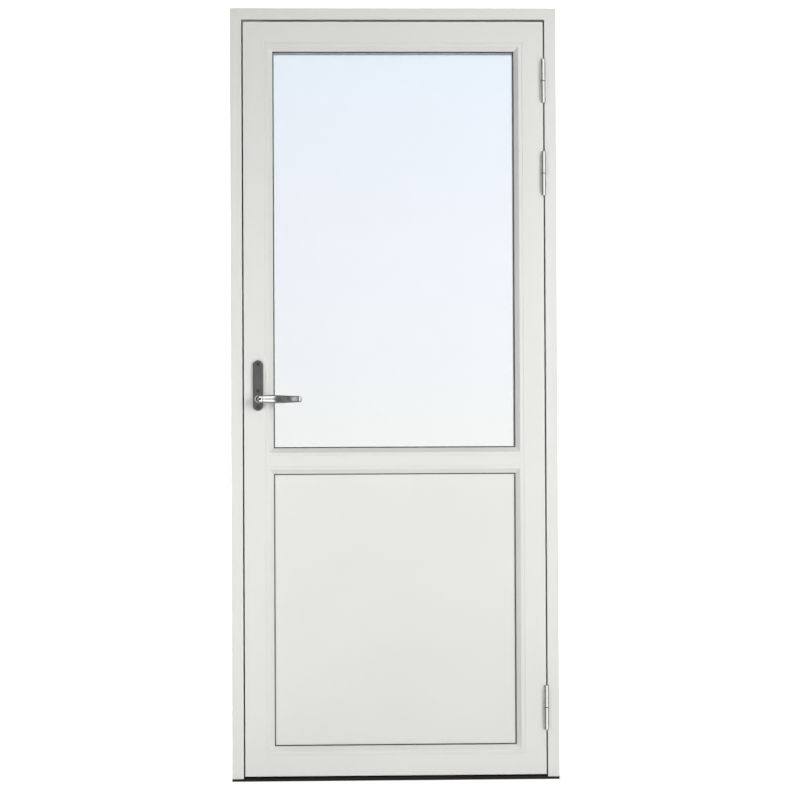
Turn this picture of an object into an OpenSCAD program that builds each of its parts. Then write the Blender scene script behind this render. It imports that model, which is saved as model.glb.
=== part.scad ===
// Glazed terrace door in its frame: aluminium-clad timber, hinged on the right, opening outwards.
// X runs along the width, Y from the outside (-Y) to the inside (+Y), Z up.
// The origin is on the underside of the threshold, at mid width and mid depth of the frame.

/* [Frame] */
// Width over the frame
frame_w = 880; // [740:10:1080]
// Height over the frame, from the threshold's underside
frame_h = 2080; // [1980:10:2400]
// Depth of the frame
frame_d = 115; // [106:1:150]
// Width of the frame's face beside and above the leaf
frame_face = 31; // [28:0.5:45]
// How far the stop reaches past the frame's face, behind the leaf
stop_step = 18; // [14:1:26]
// Height of the threshold under the jambs
base_h = 7; // [5:0.5:12]
// Height of the threshold's nose under the leaf
nose_h = 9; // [8:0.5:20]
// Height of the threshold's upstand behind the leaf
upstand_h = 30; // [24:1:50]

/* [Leaf] */
// Thickness of the leaf
leaf_t = 68; // [62:1:80]
// Gap between the leaf and each jamb
side_gap = 4; // [4:0.5:6]
// Gap between the leaf and the head
top_gap = 6; // [4:0.5:8]
// Gap between the leaf and the threshold's nose
bottom_gap = 4.5; // [3:0.5:8]
// Gap between the leaf's back and the stop, filled by the seal
seal_gap = 4.5; // [4:0.5:6]
// Height of the middle rail's centre line
mid_rail_z = 859; // [700:1:900]

/* [Cladding] */
// Wall of the aluminium cladding
clad_wall = 2.2; // [1.8:0.1:3]
// Depth of the cladding's outer legs
clad_leg = 17.5; // [14:0.5:20]
// Flat face of the stiles and outer rails, up to the groove
stile_flat = 56; // [48:1:70]
// Flat face of the middle rail between its grooves
mid_flat = 29; // [20:1:60]
// Width of the groove in the cladding
groove_w = 2.6; // [1:0.1:3]
// Depth of the groove in the cladding
groove_d = 1.4; // [0.6:0.1:1.4]
// Flat band between the groove and the bead, on the stiles and outer rails
stile_band = 8.5; // [6:0.1:12]
// Flat band between the groove and the bead, on the middle rail
mid_band = 5.4; // [5:0.1:12]

/* [Glazing] */
// Width of the sloping glazing bead
bead_w = 12; // [11:0.5:18]
// How far the bead's slope drops towards the glass
bead_drop = 10; // [6:0.5:12]
// Depth of the glass behind the leaf's face
glass_set = 16; // [14:0.5:20]
// Thickness of each pane
pane_t = 4; // [4:0.5:5]
// Space between two panes
pane_gap = 12; // [9:0.5:12]
// Thickness of the inner gasket
inner_gasket_t = 3; // [2:0.5:4]
// Width of the outer gasket that shows beside the glass
gasket_show = 3; // [3:0.5:8]
// Play between a pane's edge and the timber, filled by the setting blocks
pane_play = 6; // [5:0.5:8]
// Thickness of each skin of the panel
skin_t = 2; // [1:0.5:4]

/* [Handle] */
// Height of the handle's axis
handle_z = 1026; // [980:2:1100]
// Distance of the handle's axis from the leaf's edge
backset = 38; // [38:1:40]
// Length of the lever from its axis to its tip
lever_l = 115; // [100:1:135]
// Width of the handle plate
plate_w = 27; // [25:1:34]
// Thickness of the handle plate
plate_t = 8; // [6:0.5:12]
// Reach of the plate below the handle's axis
plate_below = 31; // [29:0.5:40]
// Reach of the plate above the handle's axis
plate_above = 104.5; // [102:0.5:130]
// Side of the square spindle
spindle_a = 8; // [7:1:9]
// Radius of the lever's neck
neck_r = 9.7; // [8.5:0.1:11]
// Least clear space between the plate and the lever's arm
lever_gap = 32; // [28:1:45]

/* [Hinges] */
// Drop from the frame's top to the upper hinge's centre
hinge_drop_upper = 198; // [180:2:280]
// Drop from the frame's top to the middle hinge's centre
hinge_drop_middle = 448; // [380:2:680]
// Height of the lower hinge's centre
hinge_z_lower = 194; // [120:2:400]
// Length of a hinge's barrel
hinge_l = 120; // [90:2:140]
// Radius of a hinge's barrel
hinge_r = 7.2; // [6.5:0.1:7.4]
// Radius of a hinge's pin
pin_r = 4; // [3:0.1:4.5]
// Thickness of a hinge's wing
wing_t = 1.8; // [1.2:0.1:1.8]
// Length of a hinge's wing along the edge of the leaf
wing_l = 49; // [40:1:52]

/* [Locking] */
// Drop from the frame's top to the upper bolt
bolt_drop_upper = 330; // [300:10:580]
// Height of the middle bolt
bolt_z_middle = 960; // [958:1:964]
// Height of the lower bolt
bolt_z_lower = 300; // [200:10:600]
// Half the height of a bolt's head
bolt_half_h = 10; // [8:0.5:11]
// Thickness of a bolt
bolt_t = 8; // [6:0.5:8]
// Module of the rack and pinion
gear_m = 2; // [2:0.1:2.1]

/* [Fixings] */
// Radius of the frame's fixing holes
fixing_r = 4; // [3:0.25:5]
// Height of the lowest fixing hole
fixing_z = 250; // [200:10:400]
// Drop from the frame's top to the highest fixing hole
fixing_drop = 250; // [200:10:400]

/* [Hidden] */

white_paint = [0.9, 0.9, 0.88];
steel = [0.62, 0.62, 0.6];
dark_steel = [0.38, 0.38, 0.37];
timber = [0.8, 0.66, 0.46];
black_rubber = [0.16, 0.17, 0.16];
glass_tint = [0.8, 0.88, 0.92, 0.5];

// Depths, from the outside to the inside
y_front = -frame_d / 2;
y_back = frame_d / 2;
y_wall = y_front + clad_wall;
y_leg = y_front + clad_leg;
clip_gap = 1.8;
y_tongue = y_wall + clip_gap;
unit_t = 3 * pane_t + 2 * pane_gap;
y_glass = y_front + glass_set;
y_glass_back = y_glass + unit_t;
y_lip = y_glass_back + inner_gasket_t;
y_leaf = y_front + leaf_t;
y_stop = y_leaf + seal_gap;

// Frame
x_out = frame_w / 2;
x_in = x_out - frame_face;
x_stop = x_in - stop_step;
z_head = frame_h - frame_face;
z_stop = z_head - stop_step;
fixing_top = frame_h - fixing_drop;
fixing_zs = [fixing_z, (fixing_z + fixing_top) / 2, fixing_top];

// Leaf
leaf_x = x_in - side_gap;
leaf_z0 = nose_h + bottom_gap;
leaf_z1 = z_head - top_gap;
bead_in = stile_flat + groove_w + stile_band;
timber_back = 2.5;
stile_w = bead_in - timber_back;
lip_w = 13;
mid_half = mid_flat / 2 + groove_w + mid_band;
bead_x = leaf_x - bead_in;
rail_x = bead_x + timber_back;
lip_x = bead_x - lip_w;
glass_z0 = mid_rail_z + mid_half;
glass_z1 = leaf_z1 - bead_in;
panel_z0 = leaf_z0 + bead_in;
panel_z1 = mid_rail_z - mid_half;
pane_in = pane_play - timber_back;
pane_x = bead_x - pane_in;
tenon_x = leaf_x - 21;
tenon_t = 16;
tenon_y = y_leg + 17;

// Locking gear, centred on hw_y and reaching into the lock stile
hw_y = y_leg + 25;
face_t = 2.8;
face_half = 10;
face_reach = 60;
lock_x = -leaf_x;
face_x = lock_x + face_t;
play = 0.3;
handle_x = lock_x + backset;
gear_n = 12;
gear_r = gear_m * gear_n / 2;
gear_half = 5;
travel = gear_r * PI / 2;
rack_addendum = 0.65 * gear_m;
gear_addendum = 0.9 * gear_m;
gear_root = 1.25 * gear_m;
backlash = 0.25;
rack_x = handle_x - gear_r;
rod_half = 7.8;
rod_x0 = face_x + 0.5;
rod_x1 = face_x + 10.2;
rod_groove_x = face_x + 14.2;
slot_r = 3.3;
drive_pin_r = 3;
bolt_wall = 3;
tail_x = face_x + travel + play;
drive_pin_x = tail_x + bolt_wall + slot_r;
bolt_end = drive_pin_x + travel + slot_r + bolt_wall;
tail_half = travel / 2 + slot_r + bolt_wall;
case_wall = 1.3;
case_x = bolt_end + 0.6 + case_wall;
case_half = 9.8;
case_fit = 0.2;
bolt_case_half = tail_half + 4;
lock_case_z0 = bolt_z_middle - bolt_case_half - 12;
lock_case_z1 = handle_z + 48;
bolt_z_upper = frame_h - bolt_drop_upper;
bolt_zs = [bolt_z_lower, bolt_z_middle, bolt_z_upper];
rod_z0 = bolt_z_lower - 35;
rod_z1 = bolt_z_upper + 30;
face_z0 = bolt_z_lower - face_reach;
face_z1 = bolt_z_upper + face_reach + 10;
face_screw_zs = [
    face_z0 + 12, bolt_z_lower + 300, lock_case_z0 - 20,
    lock_case_z1 + 20, bolt_z_upper - 300, face_z1 - 12
];
keep_half = 30;
keep_pocket = 15;

// Handles
plate_y = y_front - plate_t;
inner_plate_y = y_leaf + plate_t;
plate_screw_dz = [94, 22, -21.6];
neck_play = 0.5;
neck_in = 6;
spindle_in = 20;

// Hinges: the axis stands in front of the leaf, just inside its edge
hinge_x = leaf_x - 1;
hinge_y = y_front - hinge_r - 0.8;
hinge_z_upper = frame_h - hinge_drop_upper;
hinge_z_middle = frame_h - hinge_drop_middle;
hinge_zs = [hinge_z_upper, hinge_z_middle, hinge_z_lower];
washer_t = 1.6;
wing_y = hinge_y + pin_r + 0.5;
wing_screw_dz = [12, 30, 48];
wing_screw_y = y_leg + 12;

// Screws
screw_r = 2;
head_r = 4;
screw_l = 18;
plate_screw_r = 2.5;
plate_head_r = 4.2;

$fn = 64;

// A box from one corner to the opposite one
module block(a, b) {
    translate(a) cube(b - a);
}

// A rod of radius r along X, from x0 to x1
module rod_x(x0, x1, y, z, r) {
    translate([x0, y, z]) rotate([0, 90, 0]) cylinder(h = x1 - x0, r = r);
}

// A rod of radius r along Y, from y0 to y1
module rod_y(y0, y1, x, z, r) {
    translate([x, y0, z]) rotate([-90, 0, 0]) cylinder(h = y1 - y0, r = r);
}

// A countersunk screw along X from the surface at x; it drives to the side that dir gives
module screw_x(x, dir, y, z) {
    translate([x, y, z]) rotate([0, 90 * dir, 0]) {
        cylinder(h = screw_l, r = screw_r);
        cylinder(h = head_r - screw_r, r1 = head_r, r2 = screw_r);
    }
}

// The clearance that a countersunk screw needs where it passes through a plate
module screw_path(x, dir, y, z) {
    translate([x, y, z]) rotate([0, 90 * dir, 0]) {
        translate([0, 0, -0.1]) cylinder(h = screw_l + 0.1, r = screw_r);
        cylinder(h = head_r - screw_r, r1 = head_r, r2 = screw_r);
    }
}

// A bar along X whose section is given as [depth, distance inwards], with mitred ends
module bar(length, section, reach, mitre_start = true, mitre_end = true) {
    start = mitre_start ? reach : 0;
    end = mitre_end ? reach : 0;
    intersection() {
        translate([-reach, 0, 0])
            rotate([90, 0, 90])
                linear_extrude(length + 2 * reach) polygon(section);
        rotate([90, 0, 0])
            linear_extrude(2 * frame_d, center = true)
                polygon([[-start, -reach], [start, reach], [length - end, reach], [length + end, -reach]]);
    }
}

// The four sides of a rectangle from [x0, z0] to [x1, z1], each made of a mitred bar
module bottom_side(x0, x1, z0, section, reach) {
    translate([x0, 0, z0]) bar(x1 - x0, section, reach);
}

module top_side(x0, x1, z1, section, reach) {
    translate([x1, 0, z1]) rotate([0, 180, 0]) bar(x1 - x0, section, reach);
}

module right_side(x1, z0, z1, section, reach, mitre_low = true) {
    translate([x1, 0, z0]) rotate([0, -90, 0]) bar(z1 - z0, section, reach, mitre_low, true);
}

module left_side(x0, z0, z1, section, reach, mitre_low = true) {
    translate([x0, 0, z1]) rotate([0, 90, 0]) bar(z1 - z0, section, reach, true, mitre_low);
}

module ring(x, z0, z1, section, reach) {
    bottom_side(-x, x, z0, section, reach);
    top_side(-x, x, z1, section, reach);
    right_side(x, z0, z1, section, reach);
    left_side(-x, z0, z1, section, reach);
}

// ---- Frame ----

module threshold() {
    color([0.16, 0.13, 0.11]) {
        block([-x_out, y_front, 0], [x_out, y_back, base_h]);
        block([-x_in, y_front, base_h], [x_in, y_stop, nose_h]);
        translate([-x_stop, 0, 0])
            rotate([90, 0, 90])
                linear_extrude(2 * x_stop)
                    polygon([
                        [y_stop, base_h], [y_back, base_h], [y_back, upstand_h - 8],
                        [y_stop + 6, upstand_h], [y_stop, upstand_h]
                    ]);
    }
}

// Section of a jamb, on the +X side
module jamb_section() {
    polygon([
        [x_in, y_leg], [x_out, y_leg], [x_out, y_back],
        [x_stop, y_back], [x_stop, y_stop], [x_in, y_stop]
    ]);
}

module jamb_blank() {
    translate([0, 0, base_h]) linear_extrude(frame_h - base_h) jamb_section();
    block([x_in + clad_wall, y_tongue, base_h], [x_out - clad_wall, y_leg, frame_h - clad_wall]);
}

// The through holes that fix a jamb to the building, hidden behind the closed leaf
module fixing_holes() {
    for (z = fixing_zs)
        rod_x(x_stop - 1, x_out + 1, (y_stop + y_back) / 2, z, fixing_r);
}

module hinge_jamb() {
    color(timber) difference() {
        jamb_blank();
        fixing_holes();
        for (z = hinge_zs, dz = wing_screw_dz)
            screw_path(x_in - wing_t, 1, wing_screw_y, z - dz);
    }
}

module lock_jamb() {
    color(timber) difference() {
        mirror([1, 0, 0]) jamb_blank();
        mirror([1, 0, 0]) fixing_holes();
        for (z = bolt_zs) {
            keep_recess(z);
            keep_void(z);
            for (s = [-1, 1]) screw_path(-x_in, -1, hw_y, z + s * keep_screw_dz());
        }
    }
}

module frame_head() {
    color(timber) {
        block([-x_in, y_leg, z_head], [x_in, y_stop, frame_h]);
        block([-x_in, y_tongue, z_head + clad_wall], [x_in, y_leg, frame_h - clad_wall]);
        block([-x_stop, y_stop, z_stop], [x_stop, y_back, frame_h]);
    }
}

// Section of the frame's cladding, as [depth, distance from the outer edge]
frame_clad_section = [
    [y_front, 0], [y_front, frame_face], [y_leg, frame_face], [y_leg, frame_face - clad_wall],
    [y_wall, frame_face - clad_wall], [y_wall, clad_wall], [y_leg, clad_wall], [y_leg, 0]
];

module hinge_jamb_cladding() {
    color(white_paint) right_side(x_out, base_h, frame_h, frame_clad_section, frame_face, false);
}

module lock_jamb_cladding() {
    color(white_paint) left_side(-x_out, base_h, frame_h, frame_clad_section, frame_face, false);
}

module head_cladding() {
    color(white_paint) top_side(-x_out, x_out, frame_h, frame_clad_section, frame_face);
}

// The seal lies on the front of the stop; distances are from the stop's inner edge, outwards below 0
seal_face = 10;
seal_section = [
    [y_stop, -2], [y_leaf + 1.5, -2], [y_leaf + play, -4.5],
    [y_leaf + play, -8], [y_leaf + 2, -seal_face], [y_stop, -seal_face]
];

module frame_seal() {
    color(black_rubber) ring(x_stop, upstand_h, z_stop, seal_section, seal_face + 2);
}

// ---- Keeps ----

function keep_screw_dz() = keep_half - 8;

module keep_recess(z) {
    block([-x_in - clad_wall, hw_y - face_half, z - keep_half], [-x_in + 1, hw_y + face_half, z + keep_half]);
}

// The space behind a keep that the bolt shoots into
module keep_void(z) {
    reach_y = bolt_t / 2 + 1.5;
    reach_z = bolt_half_h + 2;
    block(
        [-x_in - clad_wall - keep_pocket, hw_y - reach_y, z - reach_z],
        [-x_in + 1, hw_y + reach_y, z + reach_z]
    );
}

module keep(z) {
    difference() {
        block([-x_in - clad_wall, hw_y - face_half, z - keep_half], [-x_in, hw_y + face_half, z + keep_half]);
        keep_void(z);
        for (s = [-1, 1]) screw_path(-x_in, -1, hw_y, z + s * keep_screw_dz());
    }
}

module keeps() {
    color(steel) for (z = bolt_zs) keep(z);
}

module frame_screws() {
    color(steel) {
        for (z = bolt_zs, s = [-1, 1]) screw_x(-x_in, -1, hw_y, z + s * keep_screw_dz());
        for (z = hinge_zs, dz = wing_screw_dz) screw_x(x_in - wing_t, 1, wing_screw_y, z - dz);
    }
}

// ---- Hinges ----

// One half of a hinge: a barrel of half the length and a wing that lies in the gap.
// side is -1 for the lower half on the frame and 1 for the upper half on the leaf.
module hinge_half(z, side, wing_x) {
    low = side > 0 ? z + washer_t / 2 : z - hinge_l / 2;
    high = side > 0 ? z + hinge_l / 2 : z - washer_t / 2;
    bore = side > 0 ? pin_r + play : pin_r;
    difference() {
        union() {
            translate([hinge_x, hinge_y, low]) cylinder(h = high - low, r = hinge_r);
            block([wing_x, wing_y, low + 1.5], [wing_x + wing_t, wing_y + wing_l, high - 1.5]);
        }
        translate([hinge_x, hinge_y, z - hinge_l / 2 + 8]) cylinder(h = hinge_l - 16, r = bore);
        for (dz = wing_screw_dz)
            screw_path(side > 0 ? wing_x + wing_t : wing_x, -side, wing_screw_y, z + side * dz);
    }
}

module frame_hinge(z) {
    color(steel) hinge_half(z, -1, x_in - wing_t);
}

module leaf_hinge(z) {
    color(steel) hinge_half(z, 1, leaf_x);
}

module hinge_pins() {
    color(steel)
        for (z = hinge_zs)
            translate([hinge_x, hinge_y, z - hinge_l / 2 + 8]) cylinder(h = hinge_l - 18, r = pin_r);
}

module hinge_washers() {
    color(dark_steel)
        for (z = hinge_zs)
            translate([hinge_x, hinge_y, z - washer_t / 2])
                difference() {
                    cylinder(h = washer_t - play, r = hinge_r - 0.4);
                    translate([0, 0, -1]) cylinder(h = washer_t + 2, r = pin_r);
                }
}

// ---- Timber of the leaf ----

// A stile on the +X side
module stile_blank() {
    translate([0, 0, leaf_z0])
        linear_extrude(leaf_z1 - leaf_z0)
            polygon([
                [leaf_x, y_leg], [leaf_x, y_leaf], [lip_x, y_leaf],
                [lip_x, y_lip], [rail_x, y_lip], [rail_x, y_leg]
            ]);
    block(
        [rail_x, y_tongue, leaf_z0 + clad_wall],
        [leaf_x - clad_wall, y_leg, leaf_z1 - clad_wall]
    );
}

// The two tenons of a rail, which also cut their own mortises
module tenons(z0, z1) {
    for (s = [0, 1])
        mirror([s, 0, 0])
            block([rail_x, tenon_y - tenon_t / 2, z0], [tenon_x, tenon_y + tenon_t / 2, z1]);
}

tenon_in = 9;
mid_tenon_in = 5;

module top_tenons() {
    tenons(leaf_z1 - stile_w + tenon_in, leaf_z1 - tenon_in);
}

module mid_tenons() {
    tenons(mid_rail_z - mid_half + mid_tenon_in, mid_rail_z + mid_half - mid_tenon_in);
}

module bottom_tenons() {
    tenons(leaf_z0 + tenon_in, leaf_z0 + stile_w - tenon_in);
}

module mortises() {
    top_tenons();
    mid_tenons();
    bottom_tenons();
}

module hinge_stile() {
    color(timber) difference() {
        stile_blank();
        mortises();
        for (z = hinge_zs, dz = wing_screw_dz)
            screw_path(leaf_x + wing_t, -1, wing_screw_y, z + dz);
    }
}

module lock_stile() {
    color(timber) difference() {
        mirror([1, 0, 0]) stile_blank();
        mortises();
        block([lock_x - 1, hw_y - face_half, face_z0], [face_x, hw_y + face_half, face_z1]);
        block([lock_x - 1, hw_y - rod_half - 0.5, face_z0 + 15], [rod_groove_x, hw_y + rod_half + 0.5, face_z1 - 20]);
        case_mortise(lock_case_z0, lock_case_z1);
        for (z = [bolt_z_lower, bolt_z_upper]) case_mortise(z - bolt_case_half, z + bolt_case_half);
        for (z = face_screw_zs) screw_path(lock_x, 1, hw_y, z);
        rod_y(y_front - 1, y_leaf + 1, handle_x, handle_z, neck_r + 1);
        for (dz = plate_screw_dz) rod_y(y_front - 1, y_leaf + 1, handle_x, handle_z + dz, plate_screw_r);
    }
}

module case_mortise(z0, z1) {
    block(
        [lock_x - 1, hw_y - case_half - case_fit, z0 - case_fit],
        [case_x + case_fit, hw_y + case_half + case_fit, z1 + case_fit]
    );
}

// An outer rail of the leaf: its body, the lip behind the glass and the tongue under the cladding
module outer_rail(z_edge, dir) {
    z_body = z_edge + dir * stile_w;
    z_lip = z_edge + dir * (bead_in + lip_w);
    z_tongue = z_edge + dir * clad_wall;
    block([-rail_x, y_leg, min(z_edge, z_body)], [rail_x, y_lip, max(z_edge, z_body)]);
    block([-lip_x, y_lip, min(z_edge, z_lip)], [lip_x, y_leaf, max(z_edge, z_lip)]);
    block([-rail_x, y_tongue, min(z_tongue, z_body)], [rail_x, y_leg, max(z_tongue, z_body)]);
}

module top_rail() {
    color(timber) {
        outer_rail(leaf_z1, -1);
        top_tenons();
    }
}

module bottom_rail() {
    color(timber) {
        outer_rail(leaf_z0, 1);
        bottom_tenons();
    }
}

module middle_rail() {
    body = mid_half - timber_back;
    lip = mid_half + lip_w;
    y_bead_leg = y_front + bead_leg + 0.5;
    color(timber) {
        block([-bead_x, y_tongue, mid_rail_z - body], [bead_x, y_bead_leg, mid_rail_z + body]);
        block([-rail_x, y_bead_leg, mid_rail_z - body], [rail_x, y_lip, mid_rail_z + body]);
        block([-lip_x, y_lip, mid_rail_z - lip], [lip_x, y_leaf, mid_rail_z + lip]);
        mid_tenons();
    }
}

// ---- Cladding of the leaf ----

// The short leg that the bead clips to
bead_leg = 9.5;

// Section over a stile or an outer rail, as [depth, distance from the leaf's edge]
leaf_clad_section = [
    [y_front, 0], [y_front, stile_flat],
    [y_front + groove_d, stile_flat + groove_w / 2],
    [y_front, stile_flat + groove_w], [y_front, bead_in],
    [y_front + bead_leg, bead_in], [y_front + bead_leg, bead_in - clad_wall],
    [y_wall, bead_in - clad_wall], [y_wall, clad_wall],
    [y_leg, clad_wall], [y_leg, 0]
];

module hinge_stile_cladding() {
    color(white_paint) right_side(leaf_x, leaf_z0, leaf_z1, leaf_clad_section, bead_in);
}

module lock_stile_cladding() {
    color(white_paint) difference() {
        left_side(-leaf_x, leaf_z0, leaf_z1, leaf_clad_section, bead_in);
        rod_y(y_front - 1, y_leg + 1, handle_x, handle_z, neck_r + 1);
        for (dz = plate_screw_dz) rod_y(y_front - 1, y_leg + 1, handle_x, handle_z + dz, plate_screw_r);
    }
}

module top_rail_cladding() {
    color(white_paint) top_side(-leaf_x, leaf_x, leaf_z1, leaf_clad_section, bead_in);
}

module bottom_rail_cladding() {
    color(white_paint) bottom_side(-leaf_x, leaf_x, leaf_z0, leaf_clad_section, bead_in);
}

// Half the middle rail's section, as [depth, distance above or below its centre line]
function mid_clad_half(s) = [
    [y_front, s * mid_flat / 2],
    [y_front + groove_d, s * (mid_flat + groove_w) / 2],
    [y_front, s * (mid_flat / 2 + groove_w)],
    [y_front, s * mid_half],
    [y_front + bead_leg, s * mid_half],
    [y_front + bead_leg, s * (mid_half - clad_wall)],
    [y_wall, s * (mid_half - clad_wall)]
];

function reversed(list) = [for (i = [len(list) - 1:-1:0]) list[i]];

module middle_rail_cladding() {
    color(white_paint)
        translate([-bead_x, 0, mid_rail_z])
            rotate([90, 0, 90])
                linear_extrude(2 * bead_x)
                    polygon(concat(mid_clad_half(1), reversed(mid_clad_half(-1))));
}

// ---- Glazing beads, gaskets and panes ----

// Section of a bead, as [depth, distance from the bead's outer edge]
bead_wall = 1.8;
bead_top = y_front + 0.3;
bead_toe = bead_top + bead_drop;
bead_section = [
    [bead_top, 0], [bead_toe, bead_w], [y_glass - gasket_t(), bead_w],
    [y_glass - gasket_t(), bead_w - bead_wall], [bead_toe + 1, bead_w - bead_wall],
    [bead_top + 3.6, bead_wall], [y_glass - 1.5, bead_wall], [y_glass - 1.5, 0]
];

function gasket_t() = 3.3;

module glass_bead_left() {
    color(white_paint) left_side(-bead_x, glass_z0, glass_z1, bead_section, bead_w);
}

module glass_bead_right() {
    color(white_paint) right_side(bead_x, glass_z0, glass_z1, bead_section, bead_w);
}

module glass_bead_top() {
    color(white_paint) top_side(-bead_x, bead_x, glass_z1, bead_section, bead_w);
}

module glass_bead_bottom() {
    color(white_paint) bottom_side(-bead_x, bead_x, glass_z0, bead_section, bead_w);
}

module panel_bead_left() {
    color(white_paint) left_side(-bead_x, panel_z0, panel_z1, bead_section, bead_w);
}

module panel_bead_right() {
    color(white_paint) right_side(bead_x, panel_z0, panel_z1, bead_section, bead_w);
}

module panel_bead_top() {
    color(white_paint) top_side(-bead_x, bead_x, panel_z1, bead_section, bead_w);
}

module panel_bead_bottom() {
    color(white_paint) bottom_side(-bead_x, bead_x, panel_z0, bead_section, bead_w);
}

// The outer gasket is pressed between the bead's toe and the glass
gasket_in = bead_w + gasket_show;
outer_gasket_section = [
    [y_glass - gasket_t(), bead_w - 3], [y_glass - gasket_t(), bead_w + 0.1],
    [y_glass - gasket_t() - 1.4, bead_w + 0.1], [y_glass - gasket_t() - 1.4, bead_w + 1.6],
    [y_glass - 1, gasket_in], [y_glass, gasket_in], [y_glass, bead_w - 3]
];
inner_gasket_section = [
    [y_glass_back, lip_w - 8], [y_glass_back, lip_w + 1.3], [y_lip, lip_w], [y_lip, lip_w - 8]
];

module glazing_gaskets() {
    color(black_rubber) {
        ring(bead_x, glass_z0, glass_z1, outer_gasket_section, gasket_in);
        ring(bead_x, glass_z0, glass_z1, inner_gasket_section, gasket_in);
        ring(bead_x, panel_z0, panel_z1, outer_gasket_section, gasket_in);
        ring(bead_x, panel_z0, panel_z1, inner_gasket_section, gasket_in);
    }
}

// A sheet in one of the two openings, from depth y0 to y1
module sheet(z0, z1, y0, y1) {
    block([-pane_x, y0, z0 + pane_in], [pane_x, y1, z1 - pane_in]);
}

module outer_pane() {
    color(glass_tint) sheet(glass_z0, glass_z1, y_glass, y_glass + pane_t);
}

module middle_pane() {
    y = y_glass + pane_t + pane_gap;
    color(glass_tint) sheet(glass_z0, glass_z1, y, y + pane_t);
}

module inner_pane() {
    color(glass_tint) sheet(glass_z0, glass_z1, y_glass_back - pane_t, y_glass_back);
}

// The two spacers hold the panes apart, just inside their edges
spacer_in = pane_in + 2;
spacer_w = 8.5;

module glass_spacers() {
    color(dark_steel)
        for (y = [y_glass + pane_t, y_glass + 2 * pane_t + pane_gap])
            ring(
                bead_x, glass_z0, glass_z1,
                [[y, spacer_in], [y, spacer_in + spacer_w],
                 [y + pane_gap, spacer_in + spacer_w], [y + pane_gap, spacer_in]],
                gasket_in
            );
}

// Two blocks carry each pane and the panel
block_l = 100;
block_from_edge = 60;

module setting_blocks() {
    color(dark_steel)
        for (z = [glass_z0, panel_z0], s = [0, 1])
            mirror([s, 0, 0])
                block(
                    [pane_x - block_from_edge - block_l, y_glass, z - timber_back],
                    [pane_x - block_from_edge, y_glass_back, z + pane_in]
                );
}

module panel_front_skin() {
    color(white_paint) sheet(panel_z0, panel_z1, y_glass, y_glass + skin_t);
}

module panel_core() {
    color([0.85, 0.82, 0.7]) sheet(panel_z0, panel_z1, y_glass + skin_t, y_glass_back - skin_t);
}

module panel_back_skin() {
    color(white_paint) sheet(panel_z0, panel_z1, y_glass_back - skin_t, y_glass_back);
}

// ---- Lock ----

module leaf_screws() {
    color(steel) {
        for (z = face_screw_zs) screw_x(lock_x, 1, hw_y, z);
        for (z = hinge_zs, dz = wing_screw_dz) screw_x(leaf_x + wing_t, -1, wing_screw_y, z + dz);
    }
}

module faceplate() {
    reach_y = bolt_t / 2 + play;
    reach_z = bolt_half_h + play;
    color(steel) difference() {
        block([lock_x, hw_y - face_half, face_z0], [face_x, hw_y + face_half, face_z1]);
        for (z = bolt_zs) block([lock_x - 1, hw_y - reach_y, z - reach_z], [face_x + 1, hw_y + reach_y, z + reach_z]);
        for (z = face_screw_zs) screw_path(lock_x, 1, hw_y, z);
    }
}

// A steel case, open at the front and slotted at both ends for the rod
module case_shell(z0, z1) {
    inner = case_half - case_wall;
    difference() {
        block([face_x, hw_y - case_half, z0], [case_x, hw_y + case_half, z1]);
        block(
            [face_x - 1, hw_y - inner, z0 + case_wall],
            [case_x - case_wall, hw_y + inner, z1 - case_wall]
        );
        block([face_x - 1, hw_y - inner, z0 - 1], [rod_groove_x, hw_y + inner, z1 + 1]);
    }
}

module lock_case() {
    color(steel) difference() {
        case_shell(lock_case_z0, lock_case_z1);
        rod_y(hw_y - case_half - 1, hw_y + case_half + 1, handle_x, handle_z, hub_r() + play);
        for (dz = plate_screw_dz)
            rod_y(hw_y - case_half - 1, hw_y + case_half + 1, handle_x, handle_z + dz, plate_screw_r);
    }
}

module bolt_cases() {
    color(steel)
        for (z = [bolt_z_lower, bolt_z_upper]) case_shell(z - bolt_case_half, z + bolt_case_half);
}

// The height of the drive pin that works the bolt at z, with the lever level
function drive_pin_z(z) = z - travel / 2;

// A flat rod with a rack for the pinion, a fork and a cross pin for each bolt, and slots for the
// faceplate's screws
module drive_rod() {
    fork_y = bolt_t / 2 + play + 0.1;
    window_z = tail_half + 0.5;
    color(steel) {
        difference() {
            union() {
                block([rod_x0, hw_y - rod_half, rod_z0], [rod_x1, hw_y + rod_half, rod_z1]);
                for (z = bolt_zs)
                    block(
                        [rod_x1 - 1, hw_y - rod_half, drive_pin_z(z) - 6],
                        [drive_pin_x + 5, hw_y + rod_half, drive_pin_z(z) + 6]
                    );
            }
            for (z = bolt_zs)
                block(
                    [rod_x0 - 1, hw_y - fork_y, z - window_z - travel],
                    [drive_pin_x + 10, hw_y + fork_y, z + window_z]
                );
            for (z = face_screw_zs)
                block(
                    [rod_x0 - 1, hw_y - screw_r - 0.5, z - travel - screw_r - 1],
                    [rod_x1 + 1, hw_y + screw_r + 0.5, z + screw_r + 1]
                );
        }
        for (z = bolt_zs) rod_y(hw_y - rod_half, hw_y + rod_half, drive_pin_x, drive_pin_z(z), drive_pin_r);
        rack();
    }
}

// Half the thickness of a rack tooth at a height h above the pitch line
function rack_half(h) = gear_m * PI / 4 - backlash / 2 - h * tan(20);

module rack_tooth() {
    low = -gear_root;
    high = rack_addendum;
    polygon([[low, -rack_half(low)], [high, -rack_half(high)], [high, rack_half(high)], [low, rack_half(low)]]);
}

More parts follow.
